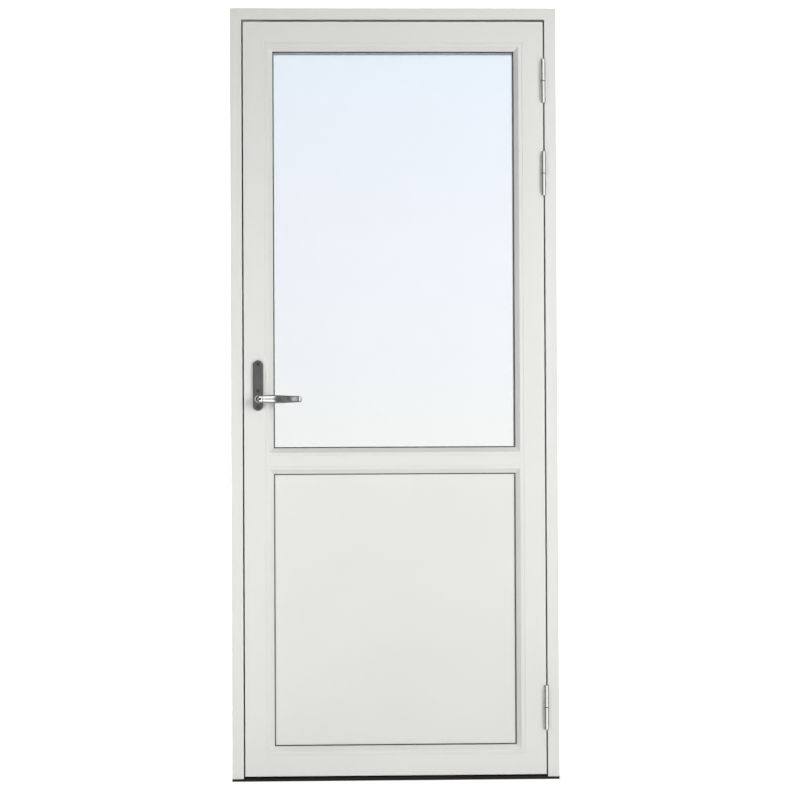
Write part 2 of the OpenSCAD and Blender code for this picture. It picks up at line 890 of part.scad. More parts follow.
// The rack's gaps line up with the pinion's teeth; it is long enough for a quarter turn
module rack() {
    pitch = gear_m * PI;
    z_low = handle_z - 5 * pitch;
    block([rod_x1 - 0.5, hw_y - gear_half, z_low], [rack_x - gear_root + 0.2, hw_y + gear_half, handle_z + 2 * pitch]);
    for (i = [-5:1])
        translate([rack_x, hw_y + gear_half, handle_z + (i + 0.5) * pitch])
            rotate([90, 0, 0]) linear_extrude(2 * gear_half) rack_tooth();
}

// A bolt: a head that shoots through the faceplate and a tail with a slot at 45 degrees
module bolt(z) {
    color(steel) difference() {
        union() {
            block([lock_x + play, hw_y - bolt_t / 2, z - bolt_half_h], [tail_x + 1, hw_y + bolt_t / 2, z + bolt_half_h]);
            block([tail_x, hw_y - bolt_t / 2, z - tail_half], [bolt_end, hw_y + bolt_t / 2, z + tail_half]);
        }
        translate([drive_pin_x, hw_y, drive_pin_z(z)])
            rotate([0, -45, 0])
                rotate([90, 0, 0])
                    linear_extrude(bolt_t + 2, center = true) slot(travel * sqrt(2), slot_r);
    }
}

module slot(length, r) {
    circle(r);
    translate([length, 0]) circle(r);
    translate([0, -r]) square([length, 2 * r]);
}

// ---- Handles ----

function hub_r() = 8.5;

// A point on the involute of a circle of radius base, unrolled by t degrees
function involute(base, t) = base * [cos(t) + t * PI / 180 * sin(t), sin(t) - t * PI / 180 * cos(t)];

// How far an involute must unroll to reach radius r, and the angle that it has then gained
function unroll(base, r) = sqrt(max(0, (r / base) * (r / base) - 1)) * 180 / PI;
function gained(base, r) = unroll(base, r) - atan(unroll(base, r) * PI / 180);

module gear_tooth() {
    base = gear_r * cos(20);
    tip = gear_r + gear_addendum;
    half = 90 / gear_n + gained(base, gear_r) - backlash / (2 * gear_r) * 180 / PI;
    steps = 6;
    flank = [for (i = [0:steps]) involute(base, unroll(base, tip) * i / steps)];
    turned = [for (p = flank) [p[0] * cos(half) + p[1] * sin(half), p[1] * cos(half) - p[0] * sin(half)]];
    other = [for (p = turned) [p[0], -p[1]]];
    root = gear_r - gear_root - 1;
    polygon(concat([[root, turned[0][1]]], turned, reversed(other), [[root, -turned[0][1]]]));
}

module pinion() {
    root = gear_r - gear_root;
    color(steel) difference() {
        union() {
            rod_y(hw_y - case_half, hw_y + case_half, handle_x, handle_z, hub_r());
            rod_y(hw_y - gear_half, hw_y + gear_half, handle_x, handle_z, root);
            translate([handle_x, hw_y + gear_half, handle_z])
                rotate([90, 0, 0])
                    linear_extrude(2 * gear_half)
                        for (i = [0:gear_n - 1]) rotate(180 + i * 360 / gear_n) gear_tooth();
        }
        spindle_bar(hw_y - case_half - 1, hw_y + case_half + 1);
    }
}

// The square bar that joins the levers, from depth y0 to y1
module spindle_bar(y0, y1) {
    a = spindle_a / 2;
    block([handle_x - a, y0, handle_z - a], [handle_x + a, y1, handle_z + a]);
}

module spindle() {
    color(steel) spindle_bar(plate_y - spindle_in, inner_plate_y + spindle_in);
}

// A lever made for the outside: a round neck towards -Y bends into a flattened arm towards +X.
// The arm leans back to the leaf, so that its clear space narrows to lever_gap.
// Each station is [along, outwards, turn from the neck's direction, half height, half thickness].
bend_r = 17;
lean = 6;
bend_out = lever_gap + 4.4 + lean - bend_r;
lever_stations = [
    [0, bend_out, 0, neck_r, neck_r],
    [bend_r * (1 - cos(30)), bend_out + bend_r * sin(30), 30, 9.6, 8.2],
    [bend_r * (1 - cos(60)), bend_out + bend_r * sin(60) - 0.2, 60, 9.7, 6.8],
    [bend_r, bend_out + bend_r - 0.4, 90, 9.9, 5.6],
    [0.45 * lever_l, lever_gap + 5, 90, 10.9, 4.8],
    [0.75 * lever_l, lever_gap + 4.3, 90, 10, 4.3],
    [0.93 * lever_l, lever_gap + 4.6, 90, 8.2, 3.7],
    [lever_l - 1, lever_gap + 4.9, 90, 5.6, 2.6]
];

module lever_disc(s) {
    translate([s[0], -s[1], 0])
        rotate([90, 0, s[2]])
            scale([s[4], s[3], 1]) cylinder(h = 1, r = 1, $fn = 32);
}

module lever() {
    difference() {
        union() {
            rotate([90, 0, 0]) translate([0, 0, -neck_in]) cylinder(h = bend_out + neck_in + 0.5, r = neck_r);
            for (i = [0:len(lever_stations) - 2])
                hull() {
                    lever_disc(lever_stations[i]);
                    lever_disc(lever_stations[i + 1]);
                }
        }
        block(
            [-spindle_a / 2, -spindle_in, -spindle_a / 2],
            [spindle_a / 2, neck_in + 1, spindle_a / 2]
        );
    }
}

module outer_lever() {
    color(steel) translate([handle_x, plate_y, handle_z]) lever();
}

module inner_lever() {
    color(steel) translate([handle_x, inner_plate_y, handle_z]) mirror([0, 1, 0]) lever();
}

// A long plate with round ends, a bore for the neck and three screw holes
module plate(y0) {
    r = plate_w / 2;
    difference() {
        translate([handle_x, y0 + plate_t, handle_z])
            rotate([90, 0, 0])
                linear_extrude(plate_t)
                    union() {
                        translate([0, r - plate_below]) circle(r);
                        translate([0, plate_above - r]) circle(r);
                        translate([-r, r - plate_below]) square([plate_w, plate_above + plate_below - plate_w]);
                    }
        rod_y(y0 - 1, y0 + plate_t + 1, handle_x, handle_z, neck_r + neck_play);
        for (dz = plate_screw_dz) rod_y(y0 - 1, y0 + plate_t + 1, handle_x, handle_z + dz, plate_screw_r);
    }
}

module outer_plate() {
    color(dark_steel) difference() {
        plate(plate_y);
        for (dz = plate_screw_dz) rod_y(plate_y - 1, plate_y + 2, handle_x, handle_z + dz, plate_head_r);
    }
}

module inner_plate() {
    color(dark_steel) plate(y_leaf);
}

module plate_screws() {
    color(steel)
        for (dz = plate_screw_dz) {
            rod_y(plate_y + 0.2, plate_y + 2, handle_x, handle_z + dz, plate_head_r);
            rod_y(plate_y + 2, inner_plate_y - 0.5, handle_x, handle_z + dz, plate_screw_r);
        }
}

threshold();
lock_jamb();
hinge_jamb();
frame_head();
lock_jamb_cladding();
hinge_jamb_cladding();
head_cladding();
frame_seal();
keeps();
frame_screws();
frame_hinge(hinge_z_upper);  // upper_frame_hinge
frame_hinge(hinge_z_middle);  // middle_frame_hinge
frame_hinge(hinge_z_lower);  // lower_frame_hinge
hinge_pins();
hinge_washers();
lock_stile();
hinge_stile();
top_rail();
middle_rail();
bottom_rail();
lock_stile_cladding();
hinge_stile_cladding();
top_rail_cladding();
middle_rail_cladding();
bottom_rail_cladding();
glass_bead_left();
glass_bead_right();
glass_bead_top();
glass_bead_bottom();
panel_bead_left();
panel_bead_right();
panel_bead_top();
panel_bead_bottom();
outer_pane();
middle_pane();
inner_pane();
glass_spacers();
glazing_gaskets();
setting_blocks();
panel_front_skin();
panel_core();
panel_back_skin();
leaf_hinge(hinge_z_upper);  // upper_leaf_hinge
leaf_hinge(hinge_z_middle);  // middle_leaf_hinge
leaf_hinge(hinge_z_lower);  // lower_leaf_hinge
leaf_screws();
faceplate();
lock_case();
bolt_cases();
outer_plate();
inner_plate();
plate_screws();
outer_lever();
inner_lever();
spindle();
pinion();
drive_rod();
bolt(bolt_z_upper);  // upper_bolt
bolt(bolt_z_middle);  // middle_bolt
bolt(bolt_z_lower);  // lower_bolt
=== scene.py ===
"""A white glazed door in its frame: softened claddings, beads and timber, shaped gaskets,
a lever handle on a long plate, three lift-off hinges, their finishes, the lights and the camera."""
import math

import bmesh
import bpy
from mathutils import Matrix, Vector


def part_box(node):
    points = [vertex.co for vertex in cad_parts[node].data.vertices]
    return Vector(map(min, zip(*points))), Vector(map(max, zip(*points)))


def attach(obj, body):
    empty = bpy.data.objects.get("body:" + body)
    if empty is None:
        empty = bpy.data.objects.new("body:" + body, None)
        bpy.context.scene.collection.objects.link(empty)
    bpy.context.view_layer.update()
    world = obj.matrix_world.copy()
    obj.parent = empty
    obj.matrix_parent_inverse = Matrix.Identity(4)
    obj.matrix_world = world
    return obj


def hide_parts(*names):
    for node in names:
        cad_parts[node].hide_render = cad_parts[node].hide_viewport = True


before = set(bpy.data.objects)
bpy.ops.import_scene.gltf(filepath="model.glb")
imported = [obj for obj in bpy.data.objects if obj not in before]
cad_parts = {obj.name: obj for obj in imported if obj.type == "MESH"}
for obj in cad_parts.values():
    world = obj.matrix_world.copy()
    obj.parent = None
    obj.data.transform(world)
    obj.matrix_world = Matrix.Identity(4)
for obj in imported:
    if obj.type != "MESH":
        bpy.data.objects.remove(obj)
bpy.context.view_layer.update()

MM = 0.001


# ---- Finishes: a small shorthand for node trees ----

class Value:
    """A number that varies over a surface. Arithmetic on it adds Math nodes."""

    def __init__(self, finish, socket):
        self.finish = finish
        self.socket = socket

    def math(self, operation, left, right):
        return self.finish.node("ShaderNodeMath", {"operation": operation}, {0: left, 1: right})

    def __add__(self, other):
        return self.math("ADD", self, other)

    def __sub__(self, other):
        return self.math("SUBTRACT", self, other)

    def __rsub__(self, other):
        return self.math("SUBTRACT", other, self)

    def __mul__(self, other):
        return self.math("MULTIPLY", self, other)

    __radd__ = __add__
    __rmul__ = __mul__


class Finish:
    """A procedural material: a Principled surface, its fixed numbers and the nodes that vary it."""

    def __init__(self, name, **fixed):
        self.material = bpy.data.materials.new(name)
        self.material.use_nodes = True
        self.tree = self.material.node_tree
        self.surface = self.tree.nodes["Principled BSDF"]
        for socket, value in fixed.items():
            label = socket.replace("_", " ").title().replace("Ior", "IOR")
            self.surface.inputs[label].default_value = value

    def node(self, kind, settings=None, sockets=None, result=0):
        """Adds a node, makes its settings, then fills its sockets with numbers or links."""
        made = self.tree.nodes.new(kind)
        for name, value in (settings or {}).items():
            if name == "stops":
                self.set_stops(made.color_ramp, value)
            else:
                setattr(made, name, value)
        for name, value in (sockets or {}).items():
            self.feed(made.inputs[name], value)
        return Value(self, made.outputs[result])

    def feed(self, socket, value):
        if isinstance(value, Value):
            self.tree.links.new(value.socket, socket)
        else:
            socket.default_value = value

    def set_stops(self, ramp, stops):
        while len(ramp.elements) < len(stops):
            ramp.elements.new(0.5)
        for element, (place, colour) in zip(ramp.elements, stops):
            element.position = place
            element.color = (*colour, 1.0)

    def place(self, scale=(1, 1, 1)):
        """Object coordinates, stretched by scale."""
        spot = self.node("ShaderNodeTexCoord", result="Object")
        return self.node("ShaderNodeMapping", {"vector_type": "POINT"}, {"Vector": spot, "Scale": scale})

    def cells(self, per_metre, result):
        """Irregular cells, per_metre of them in a row a metre long."""
        sockets = {"Vector": self.place(), "Scale": per_metre}
        return self.node("ShaderNodeTexVoronoi", {"feature": "F1"}, sockets, result)

    def axis(self, letter):
        """The place along one axis of the object, in metres."""
        return self.node("ShaderNodeSeparateXYZ", None, {0: self.place()}, letter)

    def noise(self, size, stretch=(1, 1, 1), detail=2.0, rough=0.5):
        """Even noise whose patches are about size metres across."""
        sockets = {"Vector": self.place(stretch), "Scale": 1 / size, "Detail": detail, "Roughness": rough}
        return self.node("ShaderNodeTexNoise", None, sockets, "Fac")

    def ramp(self, value, stops):
        return self.node("ShaderNodeValToRGB", {"stops": stops}, {"Fac": value}, "Color")

    def span(self, value, low, high, new_low=0.0, new_high=1.0):
        """Maps low to high onto new_low to new_high, held at both ends."""
        sockets = {"Value": value, "From Min": low, "From Max": high, "To Min": new_low, "To Max": new_high}
        return self.node("ShaderNodeMapRange", {"clamp": True}, sockets)

    def mix(self, share, first, second):
        kinds = {"data_type": "RGBA"}
        return self.node("ShaderNodeMix", kinds, {0: share, 6: opaque(first), 7: opaque(second)}, 2)

    def colour(self, value):
        self.feed(self.surface.inputs["Base Color"], value)

    def roughness(self, value):
        self.feed(self.surface.inputs["Roughness"], value)

    def relief(self, height, depth):
        """Raises the surface by up to depth metres where height is 1."""
        sockets = {"Strength": 1.0, "Distance": depth, "Height": height}
        self.feed(self.surface.inputs["Normal"], self.node("ShaderNodeBump", None, sockets))


def opaque(colour):
    return colour if isinstance(colour, Value) else (*colour[:3], 1.0)


def scaled(colour, factor):
    return tuple(min(1.0, part * factor) for part in colour)


WHITE = (0.80, 0.805, 0.775)


def powder_coat():
    """White polyester powder on aluminium: a satin film with fine orange peel."""
    f = Finish("white_powder_coat", ior=1.5, roughness=0.36)
    drift = f.noise(0.22, detail=3.0)
    peel = f.noise(0.0011, detail=1.0)
    speck = f.noise(0.004, detail=3.0, rough=0.7)
    f.colour(f.mix(f.span(drift, 0.35, 0.65), scaled(WHITE, 0.992), scaled(WHITE, 1.008)))
    f.roughness(f.span(speck, 0.3, 0.7, 0.33, 0.40) + f.span(drift, 0.3, 0.7, -0.015, 0.015))
    f.relief(peel, 0.000012)
    return f.material


def painted_pine(name, along):
    """White paint on pine: a warm film with the grain faintly raised along one axis."""
    f = Finish(name, ior=1.5, roughness=0.45)
    stretch = tuple(0.05 if axis == along else 1.0 for axis in "xyz")
    grain = f.noise(0.0035, stretch, detail=4.0, rough=0.6)
    bands = f.noise(0.016, stretch, detail=2.0)
    lines = f.span(grain, 0.42, 0.60) * f.span(bands, 0.3, 0.7, 0.4, 1.0)
    f.colour(f.mix(lines, (0.765, 0.765, 0.735), (0.80, 0.80, 0.775)))
    f.roughness(f.span(lines, 0.0, 1.0, 0.50, 0.42))
    f.relief(lines, 0.00004)
    return f.material


def stained_hardwood():
    """The sill's dark stained hardwood, with open grain along X."""
    f = Finish("dark_stained_hardwood", ior=1.48, specular_ior_level=0.3, roughness=0.5)
    pores = f.noise(0.0016, (0.03, 1, 1), detail=4.0, rough=0.65)
    figure = f.noise(0.022, (0.06, 1, 1), detail=3.0)
    browns = [(0.0, (0.004, 0.003, 0.0024)), (0.55, (0.008, 0.0055, 0.004)), (1.0, (0.015, 0.010, 0.007))]
    tone = f.ramp(f.span(figure, 0.3, 0.7), browns)
    dark = f.span(pores, 0.50, 0.62)
    f.colour(f.mix(dark * 0.6, tone, (0.003, 0.0022, 0.002)))
    f.roughness(f.span(dark, 0.0, 1.0, 0.46, 0.66))
    f.relief(1.0 - dark, 0.00008)
    return f.material


def seal_rubber(name, paler):
    """Extruded rubber: dull black with a grey bloom and fine specks of dust, paler by a factor."""
    f = Finish(name, ior=1.5, roughness=0.6)
    bloom = f.noise(0.05, detail=4.0)
    dust = f.noise(0.0009, detail=2.0)
    blacks = ((0.022, 0.023, 0.023), (0.045, 0.047, 0.046), (0.10, 0.10, 0.10))
    fresh, bloomed, dusty = (scaled(black, paler) for black in blacks)
    tone = f.mix(f.span(bloom, 0.35, 0.7), fresh, bloomed)
    f.colour(f.mix(f.span(dust, 0.55, 0.75, 0.0, 0.25), tone, dusty))
    f.roughness(f.span(bloom, 0.3, 0.7, 0.52, 0.70))
    f.relief(dust, 0.00001)
    return f.material


def polished_steel(name, tone, low, high):
    """Steel polished bright, from low to high in roughness, with fine lines and a few dull patches."""
    f = Finish(name, metallic=1.0, roughness=0.1)
    smudge = f.noise(0.012, detail=3.0, rough=0.6)
    lines = f.noise(0.0006, (1, 1, 0.04), detail=2.0)
    grey = (tone, tone * 0.99, tone * 0.97)
    f.colour(f.mix(f.span(smudge, 0.3, 0.7), scaled(grey, 0.95), scaled(grey, 1.03)))
    f.roughness(f.span(smudge, 0.3, 0.75, low, high) + f.span(lines, 0.4, 0.6, 0.0, 0.02))
    f.relief(lines, 0.0000015)
    return f.material


def blackened_steel():
    """The screws' oiled black oxide."""
    f = Finish("blackened_steel", ior=1.5, specular_ior_level=0.1, roughness=0.4)
    worn = f.noise(0.002, detail=3.0)
    f.colour(f.mix(f.span(worn, 0.45, 0.75), (0.003, 0.003, 0.003), (0.011, 0.011, 0.010)))
    f.roughness(f.span(worn, 0.3, 0.7, 0.34, 0.48))
    return f.material


def satin_plate():
    """The plate's dark nickel, brushed along its length."""
    f = Finish("dark_satin_nickel", metallic=1.0, roughness=0.34)
    brushed = f.noise(0.0007, (1, 1, 0.02), detail=3.0, rough=0.6)
    wear = f.noise(0.02, detail=3.0)
    tone = f.mix(f.span(wear, 0.3, 0.7), (0.104, 0.106, 0.104), (0.130, 0.133, 0.131))
    f.colour(f.mix(f.span(brushed, 0.35, 0.65, 0.0, 0.35), tone, (0.175, 0.178, 0.175)))
    f.roughness(f.span(brushed, 0.3, 0.7, 0.30, 0.42))
    f.relief(brushed, 0.000006)
    return f.material


def zinc_steel():
    """Bright zinc plating with its mottled, slightly yellow spangle."""
    f = Finish("zinc_plated_steel", metallic=1.0, roughness=0.35)
    shade = f.node("ShaderNodeSeparateColor", None, {0: f.cells(320.0, "Color")}, 0)
    f.colour(f.mix(shade, (0.50, 0.50, 0.49), (0.66, 0.655, 0.63)))
    f.roughness(f.span(shade, 0.0, 1.0, 0.28, 0.42))
    return f.material


def clear_glass(name):
    """Float glass with an even, clear surface."""
    return Finish(name, ior=1.5, roughness=0.0, transmission_weight=1.0)


def coated_glass_with_painted_light():
    """The outer pane's coated glass with painted light: a painted sky reflection makes it bluer towards its
    top edge, and painted shade makes it a little darker at the lock's side.
    """
    f = clear_glass("coated_glass_with_painted_light")
    low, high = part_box("outer_pane")
    # Painted reflection of the sky: the coating's faint tint turns bluer towards the pane's top edge.
    painted_sky_blues = [(0.0, (0.938, 0.957, 0.947)), (0.45, (0.921, 0.951, 1.0)), (1.0, (0.856, 0.922, 1.0))]
    painted_sky_tint = f.ramp(f.span(f.axis("Z"), low.z, high.z), painted_sky_blues)
    # Painted shade: the pane is a little darker towards the lock's side.
    shade = f.span(f.axis("X"), low.x, high.x, 0.96, 1.0)
    f.colour(f.node("ShaderNodeVectorMath", {"operation": "SCALE"}, {0: painted_sky_tint, "Scale": shade}, "Vector"))
    return f.material


def spacer_grey():
    """Roll-formed spacer bar with its fine perforation."""
    f = Finish("spacer_bar", metallic=0.6, roughness=0.4)
    unpierced = f.span(f.cells(500.0, "Distance"), 0.12, 0.28)
    f.colour(f.mix(unpierced, (0.30, 0.30, 0.30), (0.70, 0.705, 0.71)))
    f.roughness(f.span(unpierced, 0.0, 1.0, 0.6, 0.38))
    return f.material


def panel_foam():
    """Rigid yellow-grey foam with open cells."""
    f = Finish("rigid_foam", roughness=0.9)
    cells = f.cells(900.0, "Distance")
    f.colour(f.mix(f.span(cells, 0.0, 0.6), (0.62, 0.55, 0.38), (0.76, 0.70, 0.52)))
    f.relief(cells, 0.0002)
    return f.material


def nylon():
    """Black nylon with a faint moulded grain."""
    f = Finish("black_nylon", ior=1.53, roughness=0.45)
    grain = f.noise(0.0008, detail=2.0)
    f.colour(f.mix(f.span(grain, 0.35, 0.65), (0.018, 0.018, 0.019), (0.032, 0.032, 0.033)))
    f.roughness(f.span(grain, 0.3, 0.7, 0.38, 0.52))
    f.relief(grain, 0.00002)
    return f.material


powder = powder_coat()
pine_upright = painted_pine("painted_pine_upright", "z")
pine_across = painted_pine("painted_pine_across", "x")
hardwood = stained_hardwood()
rubber = seal_rubber("black_rubber", 1.0)
gasket_rubber = seal_rubber("grey_black_rubber", 2.1)
steel = polished_steel("polished_steel", 0.62, 0.05, 0.10)
lever_steel = polished_steel("polished_lever_steel", 0.68, 0.085, 0.135)
black_steel = blackened_steel()
dark_nickel = satin_plate()
zinc = zinc_steel()
glass = clear_glass("clear_glass").material
painted_light_glass = coated_glass_with_painted_light()
spacer = spacer_grey()
foam = panel_foam()
black_nylon = nylon()


# ---- Mesh helpers ----

SHARP_TURN = math.radians(20)
FLAT_TURN = math.radians(0.6)
WELD = 0.002 * MM
SEAM = 0.001 * MM


def mesh_object(name, bm, finish):
    """Turns a bmesh into an object at the origin with one material."""
    mesh = bpy.data.meshes.new(name)
    bmesh.ops.recalc_face_normals(bm, faces=bm.faces)
    bm.to_mesh(mesh)
    bm.free()
    mesh.materials.append(finish)
    piece = bpy.data.objects.new(name, mesh)
    bpy.context.scene.collection.objects.link(piece)
    return piece


def enlist(piece, body, slot, *stands_for):
    """Says which body a piece moves with and the solids that it stands for. Its slot argument is not used.
    """
    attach(piece, body)
    if stands_for:
        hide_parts(*stands_for)


def smooth_shaded(piece, angle):
    """Shades a piece smoothly, except across edges that turn by more than angle degrees."""
    piece.data.shade_smooth()
    piece.data.set_sharp_from_angle(angle=math.radians(angle))


def baked(piece):
    """Applies every modifier by swapping in the evaluated mesh."""
    shown = piece.evaluated_get(bpy.context.evaluated_depsgraph_get())
    mesh = bpy.data.meshes.new_from_object(shown)
    piece.modifiers.clear()
    piece.data = mesh


def merged_copy(node):
    """A welded copy of a CAD node's mesh, with its flat faces joined."""
    bm = bmesh.new()
    bm.from_mesh(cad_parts[node].data)
    bmesh.ops.remove_doubles(bm, verts=bm.verts, dist=WELD)
    bmesh.ops.dissolve_limit(bm, angle_limit=FLAT_TURN, verts=bm.verts, edges=bm.edges)
    return bm


def steady_normals(piece):
    """Lets the large faces set the shading, so that they look flat beside their rounded edges."""
    weighting = piece.modifiers.new("flat faces stay flat", "WEIGHTED_NORMAL")
    weighting.weight = 100
    weighting.keep_sharp = True


def round_over(piece, radius, shortest):
    """Rounds a piece's long sharp edges and keeps its flat faces flat."""
    piece.data.attributes.new("bevel_weight_edge", "FLOAT", "EDGE")
    bm = bmesh.new()
    bm.from_mesh(piece.data)
    layer = bm.edges.layers.float["bevel_weight_edge"]
    for edge in bm.edges:
        sharp = len(edge.link_faces) == 2 and edge.calc_face_angle(0.0) > SHARP_TURN
        edge[layer] = 1.0 if sharp and edge.calc_length() >= shortest else 0.0
    bm.to_mesh(piece.data)
    bm.free()
    edging = piece.modifiers.new("edge rounding", "BEVEL")
    edging.limit_method = "WEIGHT"
    edging.width = radius
    edging.segments = 2
    edging.use_clamp_overlap = True
    baked(piece)
    smooth_shaded(piece, 60)
    steady_normals(piece)
    baked(piece)


def softened(node, body, slot, finish, radius, shortest=12 * MM, reshape=None):
    """A copy of a node whose long sharp edges are rounded over, once reshape has changed its form."""
    bm = merged_copy(node)
    if reshape:
        reshape(bm)
    piece = mesh_object("soft_" + node, bm, finish)
    round_over(piece, radius, shortest)
    enlist(piece, body, slot, node)


def loft(bm, rings):
    """Joins rings of points, all with the same count, into a closed solid."""
    made = [[bm.verts.new(point) for point in ring] for ring in rings]
    count = len(made[0])
    for first, second in zip(made, made[1:]):
        for i in range(count):
            bm.faces.new((first[i], first[(i + 1) % count], second[(i + 1) % count], second[i]))
    for ring in (made[0], made[-1]):
        bm.faces.new(ring)


def lathe(bm, profile, centre, axis, steps):
    """Spins a profile of (along, radius) round an axis through centre. Radius 0 closes an end."""
    rings = []
    for along, radius in profile:
        ring = []
        for i in range(1 if radius == 0 else steps):
            turn = 2 * math.pi * i / steps
            a, b = radius * math.cos(turn), radius * math.sin(turn)
            offset = (a, b, along) if axis == "z" else (a, along, b)
            ring.append(bm.verts.new(Vector(centre) + Vector(offset)))
        rings.append(ring)
    for first, second in zip(rings, rings[1:]):
        for i in range(steps):
            j = (i + 1) % steps
            corners = [first[i % len(first)], first[j % len(first)]]
            corners += [second[j % len(second)], second[i % len(second)]]
            bm.faces.new(list(dict.fromkeys(corners)))


# ---- Claddings, beads, timber, panel and panes ----

for node in ("hinge_jamb_cladding", "lock_jamb_cladding", "head_cladding"):
    softened(node, "frame", "white_cladding", powder, 0.45 * MM)

FACE_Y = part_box("lock_stile_cladding")[0].y
MIDDLE_RAIL_Z = sum(corner.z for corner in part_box("middle_rail_cladding")) / 2
HALF_MIDDLE_RAIL = 20 * MM
GROOVE_DEPTH = 1.4 * MM
GROOVE_LEAN = 1.1 * MM
NEARLY = 0.05 * MM


def lean_grooves(bm):
    """Moves the bottom of each groove towards its bead, so that one long slope leads down from the flat."""
    for vert in bm.verts:
        if abs(vert.co.y - FACE_Y - GROOVE_DEPTH) > NEARLY:
            continue
        above_middle = vert.co.z - MIDDLE_RAIL_Z
        if abs(above_middle) < HALF_MIDDLE_RAIL:
            vert.co.z += math.copysign(GROOVE_LEAN, above_middle)
        else:
            vert.co.x -= math.copysign(GROOVE_LEAN, vert.co.x)
            vert.co.z -= math.copysign(GROOVE_LEAN, above_middle)


for node in ("lock_stile_cladding", "hinge_stile_cladding", "top_rail_cladding",
             "middle_rail_cladding", "bottom_rail_cladding"):
    softened(node, "leaf", "white_cladding", powder, 0.15 * MM, reshape=lean_grooves)
for side in ("left", "right", "top", "bottom"):
    softened("glass_bead_" + side, "leaf", "white_cladding", powder, 0.4 * MM, 5 * MM)
    softened("panel_bead_" + side, "leaf", "white_cladding", powder, 0.4 * MM, 5 * MM)
softened("panel_front_skin", "leaf", "white_cladding", powder, 0.3 * MM, 1 * MM)
softened("panel_back_skin", "leaf", "white_cladding", powder, 0.3 * MM, 1 * MM)
for node in ("lock_jamb", "hinge_jamb"):
    softened(node, "frame", "white_timber", pine_upright, 1.2 * MM, 15 * MM)
softened("frame_head", "frame", "white_timber", pine_across, 1.2 * MM, 15 * MM)
for node in ("lock_stile", "hinge_stile"):
    softened(node, "leaf", "white_timber", pine_upright, 1.2 * MM, 60 * MM)
for node in ("top_rail", "middle_rail", "bottom_rail"):
    softened(node, "leaf", "white_timber", pine_across, 1.2 * MM, 60 * MM)
softened("threshold", "frame", "dark_sill", hardwood, 1.0 * MM, 5 * MM)
softened("outer_pane", "leaf", "clear_glass", painted_light_glass, 0.4 * MM, 1 * MM)
softened("middle_pane", "leaf", "clear_glass", glass, 0.4 * MM, 1 * MM)
softened("inner_pane", "leaf", "clear_glass", glass, 0.4 * MM, 1 * MM)
softened("glazing_gaskets", "leaf", "seal_rubber", gasket_rubber, 0.35 * MM, 5 * MM)
softened("frame_seal", "frame", "seal_rubber", rubber, 0.5 * MM, 5 * MM)
softened("faceplate", "leaf", "zinc_steel", zinc, 0.3 * MM, 20 * MM)

KEPT = {
    "keeps": zinc, "frame_screws": zinc, "leaf_screws": zinc, "lock_case": zinc, "bolt_cases": zinc,
    "drive_rod": zinc, "upper_bolt": zinc, "middle_bolt": zinc, "lower_bolt": zinc, "spindle": zinc,
    "pinion": zinc, "hinge_pins": steel, "hinge_washers": black_nylon, "glass_spacers": spacer,
    "setting_blocks": black_nylon, "panel_core": foam,
}
for node, finish in KEPT.items():
    for material_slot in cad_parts[node].material_slots:
        material_slot.material = finish


# ---- Handle: plates, collars, screws and levers ----

plate_low, plate_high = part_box("outer_plate")
inner_low, inner_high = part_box("inner_plate")
SPINDLE_X = (plate_low.x + plate_high.x) / 2
SPINDLE_Z = plate_low.z + 31 * MM
PLATE_T = plate_high.y - plate_low.y
PLATE_RIM = ((PLATE_T - 2.2 * MM, 0.0), (PLATE_T - 1.1 * MM, 0.3 * MM), (PLATE_T - 0.4 * MM, 0.9 * MM),
             (PLATE_T - 0.1 * MM, 1.6 * MM), (PLATE_T, 2.6 * MM))
SCREW_DZ = (94 * MM, 22 * MM, -21.6 * MM)
SEAT_R = 4.25 * MM
SEAT_DEPTH = 2.6 * MM
HEAD_R = 4.0 * MM
HEAD_DEPTH = 2.4 * MM
HEAD_SUNK = 0.9 * MM
SOCKET_R = 2.5 * MM
SOCKET_RAISED = 0.6 * MM
NECK_R = 9.0 * MM
BORE_R = 10.2 * MM
COLLAR_RISE = 2.0 * MM
COLLAR_ROOT = -5.0 * MM


def stadium(inset, y):
    """The plate's outline, drawn in by inset, at depth y."""
    full = (plate_high.x - plate_low.x) / 2
    r = full - inset
    steps = 16
    points = []
    for centre_z, start in ((plate_high.z - full, 0.0), (plate_low.z + full, math.pi)):
        for i in range(steps + 1):
            turn = start + math.pi * i / steps
            points.append(Vector((SPINDLE_X + r * math.cos(turn), y, centre_z + r * math.sin(turn))))
    return points


def cylinder_y(bm, x, z, r, y0, y1, steps):
    """A closed cylinder along Y, from y0 to y1."""
    lathe(bm, [(y0, 0.0), (y0, r), (y1, r), (y1, 0.0)], (x, 0, z), "y", steps)


def handle_plate(name, node, back_y, out):
    """A long plate with a softly rounded rim, sunk screw seats and a bore for the neck."""
    bm = bmesh.new()
    loft(bm, [stadium(inset, back_y + out * rise) for rise, inset in ((0.0, 0.0), *PLATE_RIM)])
    piece = mesh_object(name, bm, dark_nickel)
    cut = bmesh.new()
    front = back_y + out * PLATE_T
    clear = front + out * MM
    cylinder_y(cut, SPINDLE_X, SPINDLE_Z, BORE_R, back_y - out * MM, clear, 48)
    for dz in SCREW_DZ:
        cylinder_y(cut, SPINDLE_X, SPINDLE_Z + dz, SEAT_R, front - out * SEAT_DEPTH, clear, 32)
    cutter = mesh_object(name + "_cutter", cut, dark_nickel)
    bore = piece.modifiers.new("seats", "BOOLEAN")
    bore.operation = "DIFFERENCE"
    bore.solver = "EXACT"
    bore.object = cutter
    baked(piece)
    bpy.data.objects.remove(cutter)
    smooth_shaded(piece, 28)
    enlist(piece, "leaf", "satin_plate", node)


handle_plate("outer_handle_plate", "outer_plate", plate_high.y, -1)
handle_plate("inner_handle_plate", "inner_plate", inner_low.y, 1)


